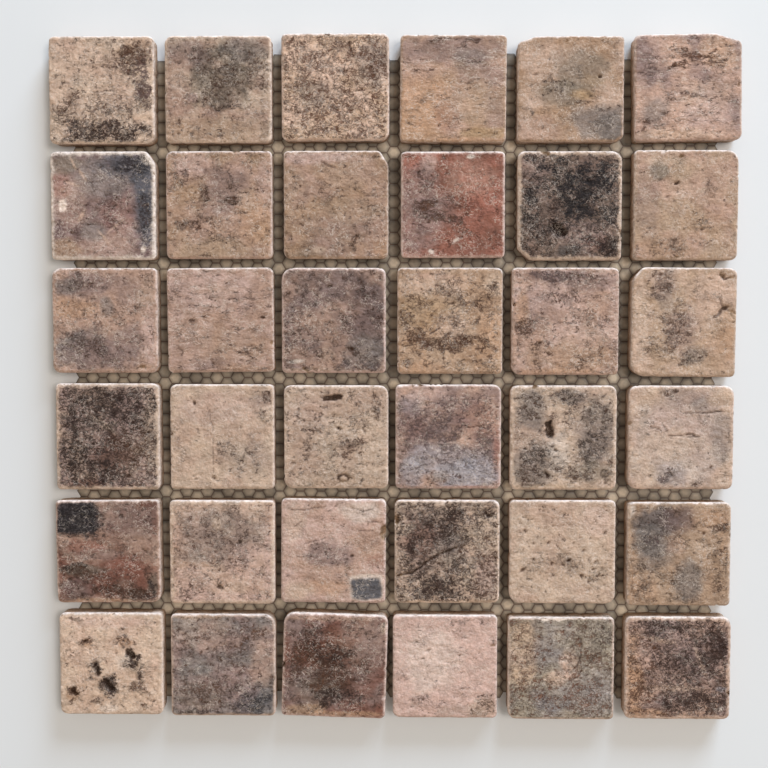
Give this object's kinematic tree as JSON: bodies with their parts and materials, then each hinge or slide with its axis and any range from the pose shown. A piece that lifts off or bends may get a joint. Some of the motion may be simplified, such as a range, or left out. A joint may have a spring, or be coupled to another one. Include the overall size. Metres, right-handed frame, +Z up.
{
  "type": "mosaic tile sheet",
  "caption": "Square sheet of worn square clay mosaic tiles with open joints, bonded on a thin backing net; it lies flat and is fixed by its underside.",
  "frame": {"origin": "middle of the net's underside, the face that goes into the adhesive", "axes": "+Z up out of the tiles' faces, +Y towards row 1, +X towards column 6"},
  "size_m": [0.3015, 0.3024, 0.0105],
  "materials": {
    "clay_cream": "unglazed fired clay, worn matt",
    "clay_buff": "unglazed fired clay, worn matt",
    "clay_rose": "unglazed fired clay, worn matt",
    "clay_mauve": "unglazed fired clay, worn matt",
    "clay_red": "unglazed fired clay, worn matt",
    "clay_smoked": "unglazed fired clay, worn matt",
    "clay_char": "unglazed fired clay, worn matt",
    "net": "thin thread net with dried bonding film"
  },
  "bodies": {
    "root": {"backing_net": "net", "tile_row1_column1": "clay_cream", "tile_row1_column2": "clay_buff", "tile_row1_column3": "clay_cream", "tile_row1_column4": "clay_buff", "tile_row1_column5": "clay_buff", "tile_row1_column6": "clay_rose", "tile_row2_column1": "clay_mauve", "tile_row2_column2": "clay_rose", "tile_row2_column3": "clay_buff", "tile_row2_column4": "clay_red", "tile_row2_column5": "clay_char", "tile_row2_column6": "clay_buff", "tile_row3_column1": "clay_mauve", "tile_row3_column2": "clay_rose", "tile_row3_column3": "clay_mauve", "tile_row3_column4": "clay_buff", "tile_row3_column5": "clay_rose", "tile_row3_column6": "clay_buff", "tile_row4_column1": "clay_char", "tile_row4_column2": "clay_cream", "tile_row4_column3": "clay_cream", "tile_row4_column4": "clay_mauve", "tile_row4_column5": "clay_smoked", "tile_row4_column6": "clay_cream", "tile_row5_column1": "clay_red", "tile_row5_column2": "clay_rose", "tile_row5_column3": "clay_rose", "tile_row5_column4": "clay_char", "tile_row5_column5": "clay_cream", "tile_row5_column6": "clay_smoked", "tile_row6_column1": "clay_cream", "tile_row6_column2": "clay_mauve", "tile_row6_column3": "clay_red", "tile_row6_column4": "clay_cream", "tile_row6_column5": "clay_smoked", "tile_row6_column6": "clay_char"}
  },
  "joints": []
}
